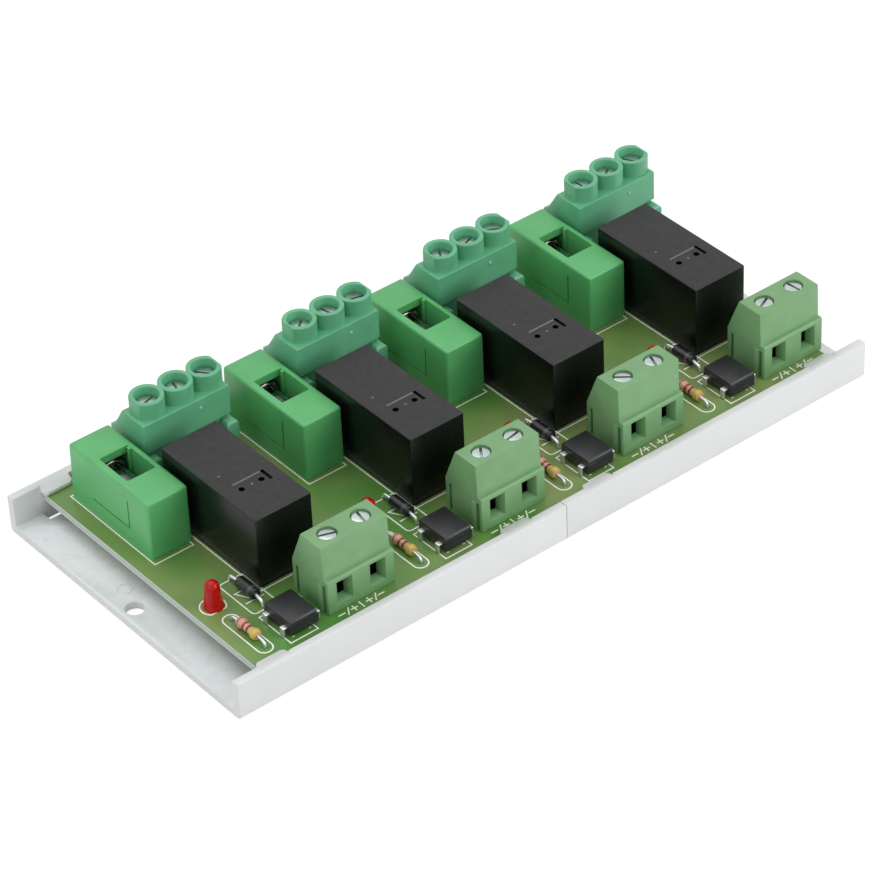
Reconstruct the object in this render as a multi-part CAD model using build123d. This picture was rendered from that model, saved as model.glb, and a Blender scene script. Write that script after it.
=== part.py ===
from build123d import *
import math
import os

# A relay board with four equal channels, held by snap hooks in a white carrier of two halves.
# Each channel has a fuse in a covered holder, a sealed relay, a three-pole contact terminal at
# the back, a two-pole control terminal at the front, a bridge rectifier, a diode, a resistor
# and a light. Millimetres. X runs along the board, Y from the control side to the contact
# side, Z up. The origin is the middle of the carrier's underside.

# Circuit board; its width follows from the parts that stand on it, front to back
board_length = 139.2
board_back_inset = 3.65
board_thickness = 1.6

# Carrier moulding, seen as a U in cross section
carrier_wall = 1.8
carrier_floor = 1.7
carrier_overhang = 6.7
carrier_corner = 1.0
board_side_gap = 0.25
halves_gap = 0.12
rest_height = 3.2
rest_reach = 2.4
rest_length = 4.0
pad_width = 5.0
screw_hole_radius = 1.9
screw_hole_inset = 3.0

# Snap hooks of the carrier
hook_length = 6.4
hook_reach = 1.8
hook_nose = 0.8
hook_rise = 0.8
hook_shoulder = 0.8
hook_gap = 0.1
hook_corner = 0.6
hook_inset_left = 9.5
hook_inset_right = 10.3
hook_slot_extra = 0.5

# Where each channel starts, from the left edge of the board
channel_starts = (3.9, 39.7, 74.2, 110.2)

# Pins, leads and the holes round them
pin_width = 0.9
pin_thickness = 0.5
lead_radius = 0.35
pin_gap = 0.1

# Sides of the small round parts, which repeat too often to be drawn finer
tower_sides = 20
screw_sides = 12
barrel_sides = 12
shaft_sides = 6

# Fuse, 5 by 20, and its holder
fuse_length = 20.0
fuse_radius = 2.6
fuse_cap_length = 5.0
fuse_cap_wall = 0.25
fuse_cap_end = 0.4
glass_gap = 0.05
glass_wall = 0.5
element_radius = 0.12
cover_width = 8.8
fuse_end_gap = 0.05
cover_wall = 1.1
cover_top = 1.6
cover_lift = 0.4
cover_gap = 0.15
cover_corner = 0.8
cover_edge = 0.45
window_margin = 0.3
window_length = 8.4
window_shift = 0.4
rib_width = 0.7
rib_reach = 0.45
rib_inset = 1.0
rib_drop = 0.3
rib_height = 7.0
slit_width = 0.3
slit_length = 12.0
slit_rise = 6.6
slit_height = 3.3
holder_plate = 1.6
holder_post = 0.9
holder_post_height = 11.35
clip_sheet = 0.5
clip_length = 4.4
clip_gap = 0.05
clip_mouth = 3.8
clip_foot = 3.6
clip_rise = 2.75
clip_overlap = 0.9
fuse_back_inset = 5.65

# Sealed relay
relay_length = 29.0
relay_width = 12.7
relay_height = 15.7
relay_edge = 0.35
relay_side_gap = 1.05
relay_front_gap = 4.05
relay_pin_spread = 7.5
relay_pin_inset = 2.6
relay_pin_pitch = 5.0

# Contact terminal with three screw towers
output_poles = 3
output_pitch = 6.5
output_end = 3.2
output_depth = 11.4
output_shift = 4.1
output_relay_gap = 5.85
output_front_height = 16.9
output_front_low = 10.3
output_recess = 1.0
output_ledge = 7.0
output_knee = 9.7
output_knee_height = 12.7
output_back_height = 11.5
output_lug_width = 2.2
output_lug_height = 9.5
output_lug_reach = 1.6
output_lug_side = 0.45
tower_radius = 3.6
tower_height = 20.5
tower_inset = 3.85
tower_bore_radius = 2.35
tower_bore_depth = 3.4
output_head_radius = 1.9
output_head_height = 1.8
output_shaft_radius = 1.25
output_entry_width = 3.8
output_entry_height = 5.2
output_entry_floor = 2.2
output_entry_depth = 10.1
output_cage_length = 4.4

# Control terminal
input_poles = 2
input_pitch = 7.62
input_depth = 10.6
input_height = 14.8
input_shift = 5.8
input_edge_inset = 3.75
input_top_front = 1.36
input_top_back = 7.4
input_lip = 1.1
input_lip_height = 7.7
input_lip_edge = 0.5
input_back_height = 7.2
input_entry_width = 3.6
input_entry_height = 5.1
input_entry_floor = 1.7
input_entry_depth = 7.2
input_screw_inset = 4.35
input_head_radius = 1.95
input_head_height = 1.5
input_head_sink = 0.3
input_shaft_radius = 1.2
input_cage_length = 4.4
groove_width = 0.6
groove_height = 6.4
groove_front = 2.0
groove_back = 1.55

# Clamping cages inside both terminals
cage_gap = 0.05
cage_nut = 1.7
cage_wall = 0.5
screw_gap = 0.1

# Indicator light
led_radius = 1.5
led_height = 6.0
led_base_radius = 1.95
led_rim = 0.5
led_neck = 3.6
led_shift = 0.3
led_front = 19.9
led_pitch = 2.54
led_lead = 0.5
led_dome_turns = (40, 75)

# Axial parts
resistor_radius = 1.05
resistor_waist = 0.13
resistor_length = 5.7
resistor_end = 1.4
resistor_rise = 0.15
resistor_pitch = 10.16
resistor_shift = 0.55
resistor_front = 9.75
diode_radius = 1.35
diode_length = 5.2
diode_rise = 0.15
diode_pitch = 10.16
diode_relay_gap = 1.4
diode_front = 0.7

# Bridge rectifier with four legs
bridge_width = 6.2
bridge_length = 7.9
bridge_height = 3.1
bridge_rise = 0.5
bridge_bevel = 0.3
bridge_draft = 4.0
bridge_row = 8.0
bridge_pitch = 5.1
bridge_leg = 0.3
bridge_shoulder = 1.2
bridge_tail = 0.6
bridge_relay_shift = 4.4
bridge_front = 7.4

# Values that follow from the sizes above
carrier_length = board_length + 2 * carrier_overhang
board_width = (input_edge_inset + input_depth + relay_front_gap + relay_length + output_relay_gap
               + output_depth + board_back_inset)
carrier_width = board_width + 2 * (board_side_gap + carrier_wall)
half_length = carrier_length / 2
board_bottom = carrier_floor + rest_height
board_top = board_bottom + board_thickness
hook_under = board_top + hook_gap
nose_top = hook_under + hook_nose
wall_height = nose_top + hook_rise
inner_half_width = carrier_width / 2 - carrier_wall
board_left = -board_length / 2
board_front = -board_width / 2
board_back = board_width / 2
output_width = (output_poles - 1) * output_pitch + 2 * output_end
input_width = input_poles * input_pitch
input_front = board_front + input_edge_inset
relay_front = input_front + input_depth + relay_front_gap
relay_back = relay_front + relay_length
output_front = relay_back + output_relay_gap
channels = range(len(channel_starts))
cover_length = fuse_length + 2 * (fuse_end_gap + holder_post + cover_gap + cover_wall)
cover_back = board_back - fuse_back_inset
cover_bottom = board_top + cover_lift
cover_height = holder_post_height - cover_lift + cover_top
fuse_y = cover_back - cover_length / 2
plate_top = board_top + holder_plate
clip_outer = fuse_radius + clip_gap + clip_sheet
fuse_z = plate_top + clip_rise + clip_outer
fuse_clip_y = (fuse_length - fuse_cap_length) / 2
bore_floor = board_top + tower_height - tower_bore_depth
input_shoulder = board_top + input_height - input_head_sink - input_head_height


def channel_left(channel):
    """X of the left face of a channel's fuse cover."""
    return board_left + channel_starts[channel]


def fuse_x(channel):
    return channel_left(channel) + cover_width / 2


def relay_x(channel):
    return channel_left(channel) + cover_width + relay_side_gap + relay_width / 2


def output_x(channel):
    return relay_x(channel) + output_shift


def input_x(channel):
    return relay_x(channel) + input_shift


def pole_places(middle, poles, pitch):
    """X of each pole of a terminal whose middle is given."""
    return [middle + (pole - (poles - 1) / 2) * pitch for pole in range(poles)]


def block(x_range, y_range, z_range):
    """A box between two corners, given as three (low, high) pairs."""
    ranges = (x_range, y_range, z_range)
    middle = [(low + high) / 2 for low, high in ranges]
    return Pos(*middle) * Box(*[high - low for low, high in ranges])


def around(middle, width):
    return (middle - width / 2, middle + width / 2)


def rod(x, y, z_range, radius):
    """An upright cylinder."""
    low, high = z_range
    return Pos(x, y, (low + high) / 2) * Cylinder(radius, high - low)


def across(points, x_range):
    """A YZ outline extruded along X."""
    low, high = x_range
    face = Plane.YZ.offset(low) * make_face(Polyline(*points, close=True))
    return extrude(face, high - low)


def prism(x, y, z_range, radius, sides):
    """An upright many-sided prism, for a small round part."""
    low, high = z_range
    return extrude(Plane.XY.offset(low) * Pos(x, y) * RegularPolygon(radius, sides), high - low)


def tapered(x, y, low, high, sides):
    """An upright many-sided cone between two (radius, height) rings."""
    narrowing = (low[0] - high[0]) * math.cos(math.pi / sides)
    taper = math.degrees(math.atan2(narrowing, high[1] - low[1]))
    face = Plane.XY.offset(low[1]) * Pos(x, y) * RegularPolygon(low[0], sides)
    return extrude(face, high[1] - low[1], taper=taper)


def drum(radius, length, sides=barrel_sides):
    """A small round bar about Z, centred on the origin."""
    return prism(0, 0, (-length / 2, length / 2), radius, sides)


def lying(solid, x, y, z):
    """A solid made about Z, laid along Y and set down at a point."""
    return Pos(x, y, z) * Rot(X=-90) * solid


def pin(x, y, length_x, length_y, top=board_top):
    """A flat pin through the board, its end trimmed flush with the underside."""
    return block(around(x, length_x), around(y, length_y), (board_bottom, top))


def pin_hole(x, y, length_x, length_y):
    return block(around(x, length_x + 2 * pin_gap), around(y, length_y + 2 * pin_gap),
                 (board_bottom, board_top))


def hook(x_range):
    """Snap hook of the front wall, as the solid to add and the slope to cut away above it."""
    outer = -carrier_width / 2
    inner = outer + carrier_wall
    tip = inner + hook_reach
    lip = across([(outer + hook_shoulder, hook_under), (tip, hook_under), (tip, nose_top),
                  (outer + hook_shoulder, wall_height)], x_range)
    nose_corners = lip.edges().filter_by(Axis.Z).group_by(Axis.Y)[-1]
    lip = chamfer(nose_corners, hook_corner)
    above = across([(outer + hook_shoulder, wall_height), (tip, nose_top),
                    (tip, 2 * wall_height), (outer + hook_shoulder, 2 * wall_height)], x_range)
    return lip, above


def carrier_half(x_range, hole_x):
    """Floor, two walls, hooks with mould slots below them, board rests and screw holes."""
    low, high = x_range
    outline = Pos(0, wall_height / 2) * Rectangle(carrier_width, wall_height)
    outline = fillet(outline.vertices().group_by(Axis.Y)[0], carrier_corner)
    hollow_height = wall_height - carrier_floor
    hollow = Pos(0, carrier_floor + hollow_height / 2) * Rectangle(2 * inner_half_width, hollow_height)
    half = extrude(Plane.YZ.offset(low) * (outline - hollow), high - low)
    for hook_x in (low + hook_inset_left, high - hook_inset_right):
        lip, above = hook(around(hook_x, hook_length))
        slot = block(around(hook_x, hook_length),
                     (-inner_half_width, hook_reach + hook_slot_extra - inner_half_width),
                     (0, carrier_floor))
        rest = block((hook_x + hook_length / 2 + rest_length / 2, hook_x + hook_length / 2 + 1.5 * rest_length),
                     (-inner_half_width, rest_reach - inner_half_width), (carrier_floor, board_bottom))
        for side in (lambda solid: solid, lambda solid: mirror(solid, Plane.XZ)):
            half = half - side(above) + side(lip) + side(rest) - side(slot)
        half += block(around((low + high + hook_x) / 3, pad_width), around(0, pad_width),
                      (carrier_floor, board_bottom))
    return half - rod(hole_x, 0, (0, carrier_floor), screw_hole_radius)


def cover_shell(channel):
    """Fuse cover: an open-bottomed box with a sight window, a rib beside it and a snap slit."""
    x = fuse_x(channel)
    top = cover_bottom + cover_height
    shell = block(around(x, cover_width), around(fuse_y, cover_length), (cover_bottom, top))
    shell = fillet(shell.edges().filter_by(Axis.Z), cover_corner)
    shell = chamfer(shell.faces().sort_by(Axis.Z)[-1].edges(), cover_edge)
    inner_width = cover_width - 2 * cover_wall
    inner_length = cover_length - 2 * cover_wall
    inside_top = top - cover_top
    shell -= block(around(x, inner_width), around(fuse_y, inner_length), (cover_bottom, inside_top))
    left, right = around(x, inner_width)
    window_y = fuse_y + window_shift
    shell -= block((left + window_margin, right), around(window_y, window_length), (inside_top, top))
    rib_y = window_y + window_length / 2 - rib_inset
    shell += block((right - rib_reach, right + cover_wall / 2), around(rib_y, rib_width),
                   (top - rib_drop - rib_height, top - rib_drop))
    slit_x = (x - cover_width / 2, left)
    slit_z = cover_bottom + slit_height
    slit_start = fuse_y - slit_length / 2
    shell -= block(slit_x, (slit_start, slit_start + slit_length), (slit_z, slit_z + slit_width))
    return shell - block(slit_x, (slit_start, slit_start + slit_width), (slit_z, slit_z + slit_rise))


def holder_base(channel):
    """Plate on the board with a post at each end that carries the cover."""
    x = fuse_x(channel)
    width = cover_width - 2 * (cover_wall + cover_gap)
    length = cover_length - 2 * (cover_wall + cover_gap)
    base = block(around(x, width), around(fuse_y, length), (board_top, plate_top))
    for side in (-1, 1):
        post_y = fuse_y + side * (length - holder_post) / 2
        base += block(around(x, width), around(post_y, holder_post),
                      (plate_top, board_top + holder_post_height))
        base -= block(around(x, pin_thickness), around(fuse_y + side * fuse_clip_y, pin_width),
                      (board_top, plate_top))
    return base


def fuse_clip(channel, side):
    """Spring clip round one fuse cap: two arms on a folded foot, with a pin through the board."""
    x = fuse_x(channel)
    y = fuse_y + side * fuse_clip_y
    foot_z = plate_top - fuse_z
    leg_height = clip_rise + clip_overlap
    outline = RegularPolygon(clip_outer, screw_sides)
    outline += Pos(0, foot_z + leg_height / 2) * Rectangle(clip_foot, leg_height)
    outline -= RegularPolygon(fuse_radius + clip_gap, screw_sides)
    inside = Rectangle(clip_foot - 2 * clip_sheet, leg_height)
    outline -= Pos(0, foot_z + clip_sheet + leg_height / 2) * inside
    outline -= Pos(0, clip_outer) * Rectangle(clip_mouth, 2 * clip_outer)
    clip = extrude(Plane.XZ.offset(-y - clip_length / 2) * Pos(x, fuse_z) * outline, clip_length)
    return clip + pin(x, y, pin_thickness, pin_width, plate_top)


def fuse_cap(channel, side):
    cup = drum(fuse_radius, fuse_cap_length, screw_sides)
    inside = drum(fuse_radius - fuse_cap_wall, fuse_cap_length, screw_sides)
    cup -= Pos(0, 0, -fuse_cap_end) * inside
    place = Pos(fuse_x(channel), fuse_y + side * fuse_clip_y, fuse_z)
    return place * Rot(X=-90 * side) * cup


def fuse_glass(channel):
    outer = fuse_radius - fuse_cap_wall - glass_gap
    length = fuse_length - 2 * (fuse_cap_end + glass_gap)
    tube = drum(outer, length, screw_sides) - drum(outer - glass_wall, length, screw_sides)
    return lying(tube, fuse_x(channel), fuse_y, fuse_z)


def fuse_element(channel):
    wire = drum(element_radius, fuse_length - 2 * fuse_cap_end, shaft_sides)
    return lying(wire, fuse_x(channel), fuse_y, fuse_z)


def relay_case(channel):
    """Sealed relay with bevelled top edges."""
    x = relay_x(channel)
    top = board_top + relay_height
    case = block(around(x, relay_width), (relay_front, relay_back), (board_top, top))
    return chamfer(case.faces().sort_by(Axis.Z)[-1].edges(), relay_edge)


def relay_pin_places(channel):
    """Two coil pins at the front end and three contact pins in a row at the back."""
    left, right = around(relay_x(channel), relay_pin_spread)
    coil_y = relay_front + relay_pin_inset
    last_y = relay_back - relay_pin_inset
    contacts = [(right, last_y - step * relay_pin_pitch) for step in range(3)]
    return [(left, coil_y), (right, coil_y)] + contacts


def output_terminal(channel):
    """Stepped body with a sloping back, three merged screw towers, end lugs and wire entries."""
    x = output_x(channel)
    x_range = around(x, output_width)
    rear = output_front + output_depth
    low_front = output_front + output_recess
    top = board_top + output_front_height
    step = board_top + output_front_low
    body = across([(low_front, board_top), (low_front, step), (output_front, step),
                   (output_front, top), (output_front + output_ledge, top),
                   (output_front + output_knee, board_top + output_knee_height),
                   (rear, board_top + output_back_height), (rear, board_top)], x_range)
    tower_y = output_front + tower_inset
    limits = block(x_range, (output_front, rear), (step, board_top + tower_height))
    poles = pole_places(x, output_poles, output_pitch)
    for pole_x in poles:
        tower = prism(pole_x, tower_y, (step, board_top + tower_height), tower_radius, tower_sides)
        body += limits & tower
    for side, edge_x in ((-1, x_range[0]), (1, x_range[1])):
        lug_x = sorted((edge_x - side * output_lug_width, edge_x + side * output_lug_side))
        lug = block(lug_x, (output_front - output_lug_reach, low_front + output_recess),
                    (board_top, board_top + output_lug_height))
        body += chamfer(lug.edges().filter_by(Axis.X).group_by(Axis.Y)[0].sort_by(Axis.Z)[-1],
                        output_lug_reach / 2)
    floor_z = board_top + output_entry_floor
    for pole_x in poles:
        body -= prism(pole_x, tower_y, (bore_floor, board_top + tower_height), tower_bore_radius,
                      tower_sides)
        body -= prism(pole_x, tower_y, (floor_z, bore_floor), output_shaft_radius + screw_gap, shaft_sides)
        body -= block(around(pole_x, output_entry_width), (rear - output_entry_depth, rear),
                      (floor_z, floor_z + output_entry_height))
        body -= block(around(pole_x, pin_width), around(tower_y, pin_width), (board_top, floor_z))
    return body


def input_terminal(channel):
    """Body with a sloping front, a rear shoulder, a lip with wire entries and end grooves."""
    x = input_x(channel)
    x_range = around(x, input_width)
    rear = input_front + input_depth
    lip_top = board_top + input_lip_height
    top = board_top + input_height
    body = across([(input_front, board_top), (input_front, lip_top - input_lip_edge),
                   (input_front + input_lip_edge, lip_top), (input_front + input_lip, lip_top),
                   (input_front + input_top_front, top), (input_front + input_top_back, top),
                   (rear, board_top + input_back_height), (rear, board_top)], x_range)
    screw_y = input_front + input_screw_inset
    floor_z = board_top + input_entry_floor
    for pole_x in pole_places(x, input_poles, input_pitch):
        body -= prism(pole_x, screw_y, (input_shoulder, top), input_head_radius + screw_gap, screw_sides)
        body -= prism(pole_x, screw_y, (floor_z, input_shoulder), input_shaft_radius + screw_gap, shaft_sides)
        body -= block(around(pole_x, input_entry_width), (input_front, input_front + input_entry_depth),
                      (floor_z, floor_z + input_entry_height))
        body -= block(around(pole_x, pin_width), around(screw_y, pin_width), (board_top, floor_z))
    for edge_x in x_range:
        for groove_y in (input_front + groove_front, rear - groove_back):
            body -= block(around(edge_x, 2 * groove_width), around(groove_y, groove_width),
                          (board_top, board_top + groove_height))
    return body


def clamp_cage(x, y, floor_z, width, height, length, hole_radius):
    """Metal clamp with a window for the wire, a threaded nut above it and a pin below."""
    outer = (floor_z, floor_z + height - cage_gap)
    cage = block(around(x, width - 2 * cage_gap), around(y, length), outer)
    cage -= block(around(x, width - 2 * (cage_gap + cage_wall)), around(y, length),
                  (floor_z + cage_wall, outer[1] - cage_nut))
    cage -= prism(x, y, (outer[1] - cage_nut, outer[1]), hole_radius + screw_gap, shaft_sides)
    return cage + pin(x, y, pin_width, pin_width, floor_z)


def clamp_screw(x, y, shoulder, head_height, head_radius, shaft_radius, tip):
    """Cheese-head screw that presses on the cage's nut."""
    head = prism(x, y, (shoulder, shoulder + head_height), head_radius, screw_sides)
    return head + prism(x, y, (tip, shoulder), shaft_radius, shaft_sides)


def output_hardware():
    """Cages and screws of every contact pole."""
    y = output_front + tower_inset
    floor_z = board_top + output_entry_floor
    tip = floor_z + output_entry_height - cage_gap - cage_nut - cage_wall
    cages, screws = [], []
    for channel in channels:
        for x in pole_places(output_x(channel), output_poles, output_pitch):
            cages.append(clamp_cage(x, y, floor_z, output_entry_width, output_entry_height,
                                    output_cage_length, output_shaft_radius))
            screws.append(clamp_screw(x, y, bore_floor, output_head_height, output_head_radius,
                                      output_shaft_radius, tip))
    return cages, screws


def input_hardware():
    """Cages and screws of every control pole."""
    y = input_front + input_screw_inset
    floor_z = board_top + input_entry_floor
    tip = floor_z + input_entry_height - cage_gap - cage_nut - cage_wall
    cages, screws = [], []
    for channel in channels:
        for x in pole_places(input_x(channel), input_poles, input_pitch):
            cages.append(clamp_cage(x, y, floor_z, input_entry_width, input_entry_height,
                                    input_cage_length, input_shaft_radius))
            screws.append(clamp_screw(x, y, input_shoulder, input_head_height, input_head_radius,
                                      input_shaft_radius, tip))
    return cages, screws


def led_place(channel):
    return channel_left(channel) + led_shift, board_front + led_front


def led_lens(channel):
    """Domed lens on a widening skirt, as a stack of rings."""
    x, y = led_place(channel)
    dome = board_top + led_height - led_radius
    rings = [(led_base_radius, board_top), (led_base_radius, board_top + led_rim),
             (led_radius, board_top + led_neck), (led_radius, dome)]
    rings += [(led_radius * math.cos(math.radians(turn)), dome + led_radius * math.sin(math.radians(turn)))
              for turn in led_dome_turns]
    lens = tapered(x, y, rings[0], rings[1], barrel_sides)
    for low, high in zip(rings[1:], rings[2:]):
        lens += tapered(x, y, low, high, barrel_sides)
    return lens


def led_leads(channel):
    x, y = led_place(channel)
    return [pin(lead_x, y, led_lead, led_lead) for lead_x in around(x, led_pitch)]


def resistor_place(channel):
    return (channel_left(channel) + resistor_shift, board_front + resistor_front,
            board_top + resistor_rise + resistor_radius)


def diode_place(channel):
    return (relay_x(channel) - relay_width / 2 - diode_relay_gap - diode_radius,
            relay_front + diode_front, board_top + diode_rise + diode_radius)


def resistor_body(channel):
    """Dog-bone body: an end cap swells at each end of a slimmer middle."""
    body = drum(resistor_radius - resistor_waist, resistor_length)
    for side in (-1, 1):
        body += Pos(0, 0, side * (resistor_length - resistor_end) / 2) * drum(resistor_radius, resistor_end)
    return lying(body, *resistor_place(channel))


def diode_body(channel):
    return lying(drum(diode_radius, diode_length), *diode_place(channel))


def axial_leads(place, body_length, pitch):
    """The two wires of an axial part, each out along Y and bent down into the board."""
    x, y, z = place
    leads = []
    for side in (-1, 1):
        start = (x, y + side * body_length / 2, z)
        corner = (x, y + side * pitch / 2, z)
        path = Polyline(start, corner, (x, corner[1], board_bottom))
        section = Plane(origin=start, z_dir=(0, side, 0)) * RegularPolygon(lead_radius, shaft_sides)
        leads.append(sweep(section, path=path, transition=Transition.RIGHT))
    return leads


def bridge_place(channel):
    return relay_x(channel) - relay_width / 2 + bridge_width / 2 - bridge_relay_shift, \
        board_front + bridge_front


def bridge_body(channel):
    """Moulded block with sides drafted both ways and a small bevel along its front top edge."""
    x, y = bridge_place(channel)
    low = board_top + bridge_rise
    middle = Pos(x, y, low + bridge_height / 2)
    halves = []
    for height, turn in ((bridge_height / 2, 0), (bridge_height / 2, 180)):
        face = Rectangle(bridge_width, bridge_length)
        halves.append(middle * Rot(X=turn) * extrude(face, height, taper=bridge_draft))
    body = halves[0] + halves[1]
    top = body.faces().sort_by(Axis.Z)[-1]
    return chamfer(top.edges().filter_by(Axis.X).sort_by(Axis.Y)[0], bridge_bevel)


def bridge_legs(channel):
    """Four flat legs, broad at the shoulder and narrow where they enter the board."""
    x, y = bridge_place(channel)
    middle_z = board_top + bridge_rise + bridge_height / 2
    legs = []
    for side in (-1, 1):
        body_x = x + side * bridge_width / 2
        row_x = x + side * bridge_row / 2
        for leg_y in around(y, bridge_pitch):
            arm = block(sorted((body_x, row_x + side * bridge_leg / 2)), around(leg_y, bridge_shoulder),
                        around(middle_z, bridge_leg))
            shoulder = block(around(row_x, bridge_leg), around(leg_y, bridge_shoulder),
                             (board_top, middle_z))
            tail = block(around(row_x, bridge_leg), around(leg_y, bridge_tail), (board_bottom, board_top))
            legs.append(arm + shoulder + tail)
    return legs


def board_holes():
    """Holes for every pin and lead, each a little larger than what it holds."""
    holes = []
    for channel in channels:
        x, y = led_place(channel)
        holes += [pin_hole(lead_x, y, led_lead, led_lead) for lead_x in around(x, led_pitch)]
        holes += [pin_hole(x, y, pin_thickness, pin_width) for x, y in relay_pin_places(channel)]
        holes += [pin_hole(x, output_front + tower_inset, pin_width, pin_width)
                  for x in pole_places(output_x(channel), output_poles, output_pitch)]
        holes += [pin_hole(x, input_front + input_screw_inset, pin_width, pin_width)
                  for x in pole_places(input_x(channel), input_poles, input_pitch)]
        holes += [pin_hole(fuse_x(channel), fuse_y + side * fuse_clip_y, pin_thickness, pin_width)
                  for side in (-1, 1)]
        for place, pitch in ((resistor_place(channel), resistor_pitch), (diode_place(channel), diode_pitch)):
            holes += [pin_hole(place[0], lead_y, 2 * lead_radius, 2 * lead_radius)
                      for lead_y in around(place[1], pitch)]
        x, y = bridge_place(channel)
        holes += [pin_hole(row_x, leg_y, bridge_leg, bridge_tail)
                  for row_x in around(x, bridge_row) for leg_y in around(y, bridge_pitch)]
    return holes


def circuit_board():
    board = block(around(0, board_length), around(0, board_width), (board_bottom, board_top))
    return board - board_holes()


def write(name, solids):
    solids = solids if isinstance(solids, list) else [solids]
    shape = solids[0] if len(solids) == 1 else Compound(children=solids)
    export_step(shape, f"parts/{name}.step")


os.makedirs("parts", exist_ok=True)
write("carrier_left", carrier_half((-half_length, -halves_gap / 2), screw_hole_inset - half_length))
write("carrier_right", carrier_half((halves_gap / 2, half_length), half_length - screw_hole_inset))
write("circuit_board", circuit_board())
for channel in channels:
    number = channel + 1
    write(f"fuse_base_{number}", holder_base(channel))
    write(f"fuse_cover_{number}", cover_shell(channel))
    write(f"fuse_tube_{number}", fuse_glass(channel))
    write(f"fuse_caps_{number}", [fuse_cap(channel, side) for side in (-1, 1)])
    write(f"relay_{number}", relay_case(channel))
    write(f"output_terminal_{number}", output_terminal(channel))
    write(f"input_terminal_{number}", input_terminal(channel))
    write(f"led_{number}", led_lens(channel))
    write(f"diode_{number}", diode_body(channel))
    write(f"resistor_{number}", resistor_body(channel))
    write(f"bridge_rectifier_{number}", bridge_body(channel))
output_cages, output_screws = output_hardware()
input_cages, input_screws = input_hardware()
write("output_cages", output_cages)
write("output_screws", output_screws)
write("input_cages", input_cages)
write("input_screws", input_screws)
write("fuse_clips", [fuse_clip(channel, side) for channel in channels for side in (-1, 1)])
write("fuse_elements", [fuse_element(channel) for channel in channels])
write("relay_pins", [pin(x, y, pin_thickness, pin_width)
                     for channel in channels for x, y in relay_pin_places(channel)])
write("led_leads", [lead for channel in channels for lead in led_leads(channel)])
write("axial_leads", [lead for channel in channels
                      for place, length, pitch in ((resistor_place(channel), resistor_length, resistor_pitch),
                                                   (diode_place(channel), diode_length, diode_pitch))
                      for lead in axial_leads(place, length, pitch)])
write("bridge_legs", [leg for channel in channels for leg in bridge_legs(channel)])
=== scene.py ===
import math

import bmesh
import bpy
from mathutils import Matrix, Vector


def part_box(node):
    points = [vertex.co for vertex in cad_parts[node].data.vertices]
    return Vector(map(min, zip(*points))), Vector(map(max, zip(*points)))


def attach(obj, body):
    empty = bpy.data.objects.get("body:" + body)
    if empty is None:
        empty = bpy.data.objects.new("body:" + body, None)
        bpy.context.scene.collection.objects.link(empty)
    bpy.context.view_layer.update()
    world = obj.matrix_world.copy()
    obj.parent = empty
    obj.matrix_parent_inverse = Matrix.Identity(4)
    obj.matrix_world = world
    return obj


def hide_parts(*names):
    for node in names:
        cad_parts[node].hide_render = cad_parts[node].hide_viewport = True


bl_info = {
    "name": "Relay module board",
    "version": (1, 0, 0),
    "blender": (4, 5, 0),
    "location": "3D View > Sidebar > Relay module",
    "description": "Dresses the CAD frame of a four-channel relay module with finished parts",
    "category": "Object",
}

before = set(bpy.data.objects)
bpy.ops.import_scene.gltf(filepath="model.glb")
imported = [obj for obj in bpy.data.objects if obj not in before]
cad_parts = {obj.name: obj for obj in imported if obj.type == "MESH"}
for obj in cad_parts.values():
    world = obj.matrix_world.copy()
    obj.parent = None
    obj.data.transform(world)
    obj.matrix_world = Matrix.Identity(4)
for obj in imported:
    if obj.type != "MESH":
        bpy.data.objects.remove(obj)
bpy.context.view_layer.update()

MM = 0.001
WELD = 0.001 * MM  # corners closer than this are made one
CHANNELS = (1, 2, 3, 4)
# The frame's origin is the middle of the carrier. Places seen in the photograph were taken from
# the carrier's low corner.
CARRIER_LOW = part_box("carrier_left")[0]
BOARD_LOW, BOARD_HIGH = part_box("circuit_board")
# The screws stand this far apart and this far from the front of their terminals. The row of three
# stands a little to the right of its terminal's middle.
TOWER_PITCH, TOWER_SHIFT, TOWER_Y = 6.6 * MM, 0.35 * MM, 5.5 * MM
CONTROL_PITCH, CONTROL_SCREW_Y = 7.62 * MM, 4.35 * MM
# The real barrels sit this far from the middle of their CAD solids.
BARREL_SHIFT = {"resistor": Vector((0.1 * MM, 0, 0)),
                "diode": Vector((0.2 * MM, -0.2 * MM, -0.17 * MM))}


def linear(hex_code):
    """An sRGB hex colour as linear red, green, blue and alpha."""
    channels = [int(hex_code[start:start + 2], 16) / 255 for start in (1, 3, 5)]
    return tuple(c / 12.92 if c <= 0.04045 else ((c + 0.055) / 1.055) ** 2.4
                 for c in channels) + (1.0,)


def size(name, description, millimetres):
    return bpy.props.FloatProperty(name=name, description=description, default=millimetres * MM,
                                   unit="LENGTH", precision=5)


def colour(name, description, hex_code):
    return bpy.props.FloatVectorProperty(name=name, description=description, subtype="COLOR",
                                         size=4, min=0, max=1, default=linear(hex_code))


class RelayModuleSizes(bpy.types.PropertyGroup):
    carrier_edge: size("Carrier edge", "Rounding of the carrier's edges", 0.18)
    cover_round: size("Cover rounding", "Rounding of the fuse cover's outer edges", 0.65)
    terminal_edge: size("Terminal edge", "Rounding of the terminals' edges", 0.2)
    rim_round: size("Rim rounding", "Rounding of the screw towers' rims", 0.22)
    relay_edge: size("Relay edge", "Rounding of the relay's edges", 0.25)
    print_width: size("Print width", "Width of the printed lines on the board", 0.27)
    print_height: size("Print height", "Thickness of the printed lines", 0.03)
    lead_bend: size("Lead bend", "Bend radius of the axial leads", 0.9)
    screw_slot: size("Screw slot", "Width of the slots in the screw heads", 0.55)


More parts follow.
